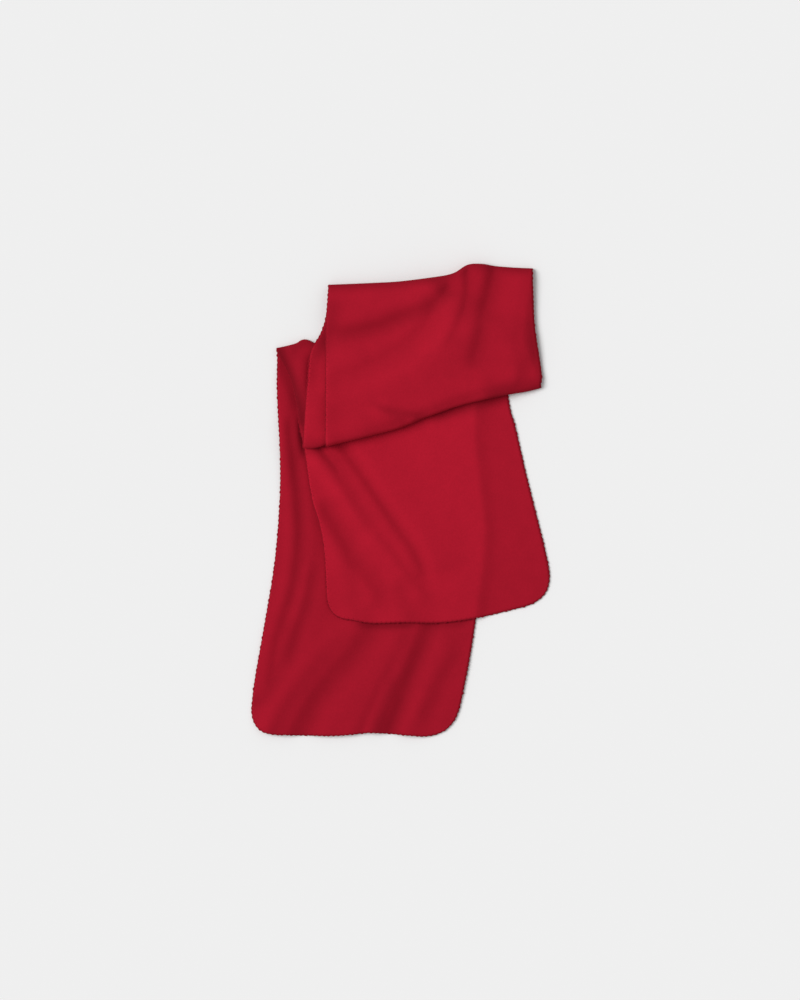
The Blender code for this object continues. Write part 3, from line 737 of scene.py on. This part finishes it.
# ---------------------------------------------------------------- materials
def node_material(name, color, roughness, specular):
    """A new material with plain values on its shader, its node tree, the shader, and object coordinates."""
    material = bpy.data.materials.new(name)
    material.use_nodes = True
    tree = material.node_tree
    shader = tree.nodes["Principled BSDF"]
    shader.inputs["Base Color"].default_value = color
    shader.inputs["Roughness"].default_value = roughness
    shader.inputs["Specular IOR Level"].default_value = specular
    where = tree.nodes.new("ShaderNodeTexCoord").outputs["Object"]
    return material, tree, shader, where


def noise_node(tree, where, size, detail=2.0):
    """A noise texture whose blotches are about as big as the given size in metres."""
    node = tree.nodes.new("ShaderNodeTexNoise")
    node.inputs["Scale"].default_value = 1 / size
    node.inputs["Detail"].default_value = detail
    tree.links.new(where, node.inputs["Vector"])
    return node.outputs["Fac"]


def scale_node(tree, factor):
    """A node that multiplies a colour by a value."""
    node = tree.nodes.new("ShaderNodeVectorMath")
    node.operation = "SCALE"
    tree.links.new(factor, node.inputs["Scale"])
    return node


def add_bumps(tree, shader, where, bumps):
    """Noise bumps on the shader's normal, each one laid over the last."""
    normal = None
    for size, strength, height in bumps:
        bump = tree.nodes.new("ShaderNodeBump")
        bump.inputs["Strength"].default_value = strength
        bump.inputs["Distance"].default_value = height
        tree.links.new(noise_node(tree, where, size), bump.inputs["Height"])
        if normal is not None:
            tree.links.new(normal, bump.inputs["Normal"])
        normal = bump.outputs["Normal"]
    tree.links.new(normal, shader.inputs["Normal"])


def fleece_material():
    """Brushed fleece: matte, a little sheen from its nap, mottled red, with a short uneven pile."""
    material, tree, shader, where = node_material("red_fleece", SCARF_RED, roughness=0.92, specular=0.06)
    shader.inputs["Sheen Weight"].default_value = 0.12
    shader.inputs["Sheen Roughness"].default_value = 0.45
    shader.inputs["Sheen Tint"].default_value = (1.0, 0.06, 0.10, 1.0)

    # colour: the tone, which holds the nap and the painted light and shade, its slow mottling, and the
    # specks of the pile
    tone = tree.nodes.new("ShaderNodeAttribute")
    tone.attribute_name = "tone"
    toned = scale_node(tree, tone.outputs["Fac"])
    toned.inputs[0].default_value = SCARF_RED[:3]
    colour = toned.outputs["Vector"]
    for size, amount, detail in MOTTLING:
        ramp = tree.nodes.new("ShaderNodeMapRange")
        ramp.inputs["From Min"].default_value = NOISE_LOW
        ramp.inputs["From Max"].default_value = NOISE_HIGH
        ramp.inputs["To Min"].default_value = 1 - amount / 2
        ramp.inputs["To Max"].default_value = 1 + amount / 2
        tree.links.new(noise_node(tree, where, size, detail), ramp.inputs["Value"])
        spotted = scale_node(tree, ramp.outputs["Result"])
        tree.links.new(colour, spotted.inputs[0])
        colour = spotted.outputs["Vector"]
    tree.links.new(colour, shader.inputs["Base Color"])
    add_bumps(tree, shader, where, PILE)
    return material


def thread_material():
    """Overcasting thread, twisted from plies."""
    material, tree, shader, where = node_material("red_thread", THREAD_RED, roughness=0.8, specular=0.1)
    add_bumps(tree, shader, where, PLIES)
    return material


def floor_material():
    """A pale matte floor with a hardly visible grain."""
    material, tree, shader, where = node_material("pale_floor", FLOOR_GREY, roughness=0.9, specular=0.0)
    add_bumps(tree, shader, where, FLOOR_GRAIN)
    return material


# ---------------------------------------------------------------- meshes
def mesh_object(name, points, faces, material):
    """A new smooth-shaded object in the scene."""
    mesh = bpy.data.meshes.new(name)
    mesh.from_pydata(np.asarray(points).reshape(-1, 3).tolist(), [], faces)
    mesh.validate()
    mesh.shade_smooth()
    mesh.materials.append(material)
    thing = bpy.data.objects.new(name, mesh)
    bpy.context.scene.collection.objects.link(thing)
    return thing


def grid_faces(rows, columns, first=0, closed=False):
    """Quads of a grid of points; closed joins the last column to the first."""
    faces = []
    for i in range(rows - 1):
        for j in range(columns if closed else columns - 1):
            a = first + i * columns + j
            b = first + i * columns + (j + 1) % columns
            faces.append((a, b, b + columns, a + columns))
    return faces


def set_tone(thing, tones):
    """Gives each point of a mesh its tone there: the nap's, with painted light and shade."""
    layer = thing.data.attributes.new("tone", "FLOAT", "POINT")
    layer.data.foreach_set("value", np.asarray(tones, dtype=np.float32).ravel())


def cloth_piece(strip, material):
    """The strip as a thin shell with real thickness, its texture coordinates laid out as the flat cut."""
    rows, columns = strip.shape[:2]
    cloth = mesh_object("scarf_cloth", strip[..., :3], grid_faces(rows, columns), material)
    set_tone(cloth, strip[..., 3])
    layout = cloth.data.uv_layers.new(name="cloth")
    index = np.empty(len(cloth.data.loops), int)
    cloth.data.loops.foreach_get("vertex_index", index)
    uv = np.column_stack([(index % columns) / (columns - 1) * CUT_WIDTH / CUT_LENGTH,
                          (index // columns) / (rows - 1)])
    layout.data.foreach_set("uv", uv.ravel())
    thicken = cloth.modifiers.new("fleece", "SOLIDIFY")
    thicken.thickness = CLOTH
    thicken.offset = 0.0
    return cloth


def unit(vectors):
    """The vectors, each with a length of 1."""
    return vectors / np.linalg.norm(vectors, axis=-1)[..., None]


def normals_of(strip):
    """The strip's normals, from its rows and columns."""
    return unit(np.cross(np.gradient(strip, axis=1), np.gradient(strip, axis=0)))


def edge_loop(strip):
    """The strip's outline as a closed loop: points, directions out of the cloth and normals."""
    normals = normals_of(strip)
    last_row, last_col = strip.shape[0] - 1, strip.shape[1] - 1
    cells = [(0, j) for j in range(last_col)]
    cells += [(i, last_col) for i in range(last_row)]
    cells += [(last_row, j) for j in range(last_col, 0, -1)]
    cells += [(i, 0) for i in range(last_row, 0, -1)]
    points, outs, ups = [], [], []
    for i, j in cells:
        inner_row = np.clip(i, OUT_CELLS, last_row - OUT_CELLS)
        inner_col = np.clip(j, OUT_CELLS, last_col - OUT_CELLS)
        points.append(strip[i, j])
        outs.append(strip[i, j] - strip[inner_row, inner_col])
        ups.append(normals[i, j])
    points, outs, ups = np.array(points), np.array(outs), np.array(ups)
    for _ in range(OUT_PASSES):
        outs = (np.roll(outs, 1, axis=0) + 2 * outs + np.roll(outs, -1, axis=0)) / 4
    return points, unit(outs), unit(ups)


def lengths_round(points):
    """The distance along a closed loop from its first point to each point, and back to the first."""
    return lengths_along(np.vstack([points, points[:1]]))


def even_loop(points, outs, ups, count):
    """The loop at evenly spaced places: the places, and directions along the edge, out of it and up."""
    run = lengths_round(points)
    where = np.linspace(0, run[-1], count, endpoint=False)

    def read(values):
        values = np.vstack([values, values[:1]])
        return np.stack([np.interp(where, run, values[:, k]) for k in range(3)], axis=-1)

    places = read(points)
    along = unit(np.roll(places, -1, axis=0) - np.roll(places, 1, axis=0))
    out = read(outs)
    out = unit(out - along * np.sum(out * along, axis=1)[:, None])
    up = unit(np.cross(out, along))
    flip = np.sign(np.sum(up * read(ups), axis=1))
    return places, along, out, up * flip[:, None]


def rolled_edge(loop, material):
    """The cloth's edge, drawn into small scallops by the stitches."""
    places, _, out, up = loop
    stitch = np.arange(len(places)) / STITCH_SAMPLES
    step, seed = ROLL_NOISE
    uneven = np.array([noise.noise(Vector((k * step, 0.0, seed))) for k in stitch])
    swell = np.abs(np.sin(np.pi * stitch)) * (ROLL_SWELL[0] + ROLL_SWELL[1] * uneven)
    wide = (ROLL_WIDE[0] + ROLL_WIDE[1] * swell)[:, None, None]
    high = (ROLL_HIGH[0] + ROLL_HIGH[1] * swell)[:, None, None]
    turn = np.linspace(0, 2 * np.pi, ROLL_SIDES, endpoint=False)[None, :, None]
    rings = places[:, None] + out[:, None] * wide * np.cos(turn) + up[:, None] * high * np.sin(turn)
    rings[..., 2] = np.maximum(rings[..., 2], FLOOR)
    count = len(places)
    # the row of faces after the last ring joins it to the first one
    faces = [tuple(v % (count * ROLL_SIDES) for v in face)
             for face in grid_faces(count + 1, ROLL_SIDES, closed=True)]
    edge = mesh_object("rolled_edge", rings, faces, material)
    # the rolled edge's tone, darkened with painted shade along the edge
    set_tone(edge, np.full(count * ROLL_SIDES, EDGE_SHADE_TONE))
    return edge


def tube(path, faces, first):
    """Points of a thin thread along a path; its faces, numbered from first on, are added to the list."""
    path = np.array(path)
    along = unit(np.gradient(path, axis=0))
    side = unit(np.cross(along, np.array(THREAD_ASIDE)))
    other = np.cross(along, side)
    turn = np.linspace(0, 2 * np.pi, THREAD_SIDES, endpoint=False)[None, :, None]
    rings = path[:, None] + THREAD_RADIUS * (side[:, None] * np.cos(turn) + other[:, None] * np.sin(turn))
    faces += grid_faces(len(path), THREAD_SIDES, first, closed=True)
    faces.append(tuple(first + k for k in range(THREAD_SIDES))[::-1])
    last = first + (len(path) - 1) * THREAD_SIDES
    faces.append(tuple(last + k for k in range(THREAD_SIDES)))
    return rings.reshape(-1, 3)


def edge_thread(loop, stitches, material):
    """The overcasting: a loop of thread round the edge at every stitch."""
    places, along, out, up = loop
    wrap = UPPER_HALF + [TURN] + [(o, -h, -a) for o, h, a in reversed(UPPER_HALF)]
    points, faces, count = [], [], 0
    for stitch in range(stitches):
        k = stitch * STITCH_SAMPLES
        path = [places[k] + out[k] * o + up[k] * h + along[k] * a for o, h, a in wrap]
        rings = tube(path, faces, count)
        points.append(rings)
        count += len(rings)
    points = np.concatenate(points)
    points[:, 2] = np.maximum(points[:, 2], FLOOR)
    return mesh_object("edge_thread", points, faces, material)


# ---------------------------------------------------------------- stage
def make_floor(material):
    """The surface that the scarf lies on."""
    corners = [(x * FLOOR_HALF, y * FLOOR_HALF, FLOOR) for x, y in ((-1, -1), (1, -1), (1, 1), (-1, 1))]
    mesh_object("floor", corners, [(0, 1, 2, 3)], material)


def make_lights():
    """A plain soft sky and one broad light from the left, above."""
    world = bpy.data.worlds.new("soft_studio")
    world.use_nodes = True
    world.node_tree.nodes["Background"].inputs["Color"].default_value = (1.0, 1.0, 1.0, 1.0)
    world.node_tree.nodes["Background"].inputs["Strength"].default_value = SKY
    bpy.context.scene.world = world
    lamp = bpy.data.lights.new("broad_light", "SUN")
    lamp.angle = math.radians(SUN_ANGLE)
    lamp.energy = SUN
    sun = bpy.data.objects.new("broad_light", lamp)
    bpy.context.scene.collection.objects.link(sun)
    sun.rotation_euler = Vector(SUN_FROM).to_track_quat("Z", "Y").to_euler()


def make_camera():
    """Straight above the folded scarf, with +Y up in the picture."""
    middle_x = (CAD_BOX[0][0] + CAD_BOX[1][0]) / 2
    middle_y = (CAD_BOX[0][1] + CAD_BOX[1][1]) / 2
    data = bpy.data.cameras.new("camera")
    data.lens = LENS
    data.sensor_width = SENSOR
    data.clip_end = CLIP_END
    camera = bpy.data.objects.new("camera", data)
    distance = VIEW_HEIGHT * LENS / SENSOR
    camera.location = (middle_x + VIEW_SHIFT_X, middle_y, FLOOR + VIEW_LEVEL + distance)
    bpy.context.scene.collection.objects.link(camera)
    bpy.context.scene.camera = camera


def build():
    """The scarf's three pieces, which all ride on the one body, and the stage."""
    fleece = fleece_material()
    strip = whole_strip()
    cloth = cloth_piece(strip, fleece)
    points, outs, ups = edge_loop(strip[..., :3])
    stitches = round(lengths_round(points)[-1] / STITCH)
    loop = even_loop(points, outs, ups, stitches * STITCH_SAMPLES)
    edge = rolled_edge(loop, fleece)
    thread = edge_thread(loop, stitches, thread_material())
    for piece in (cloth, edge, thread):
        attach(piece, "root")
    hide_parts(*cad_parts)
    make_floor(floor_material())
    make_lights()
    make_camera()
    bpy.context.scene.view_settings.view_transform = "Standard"


build()
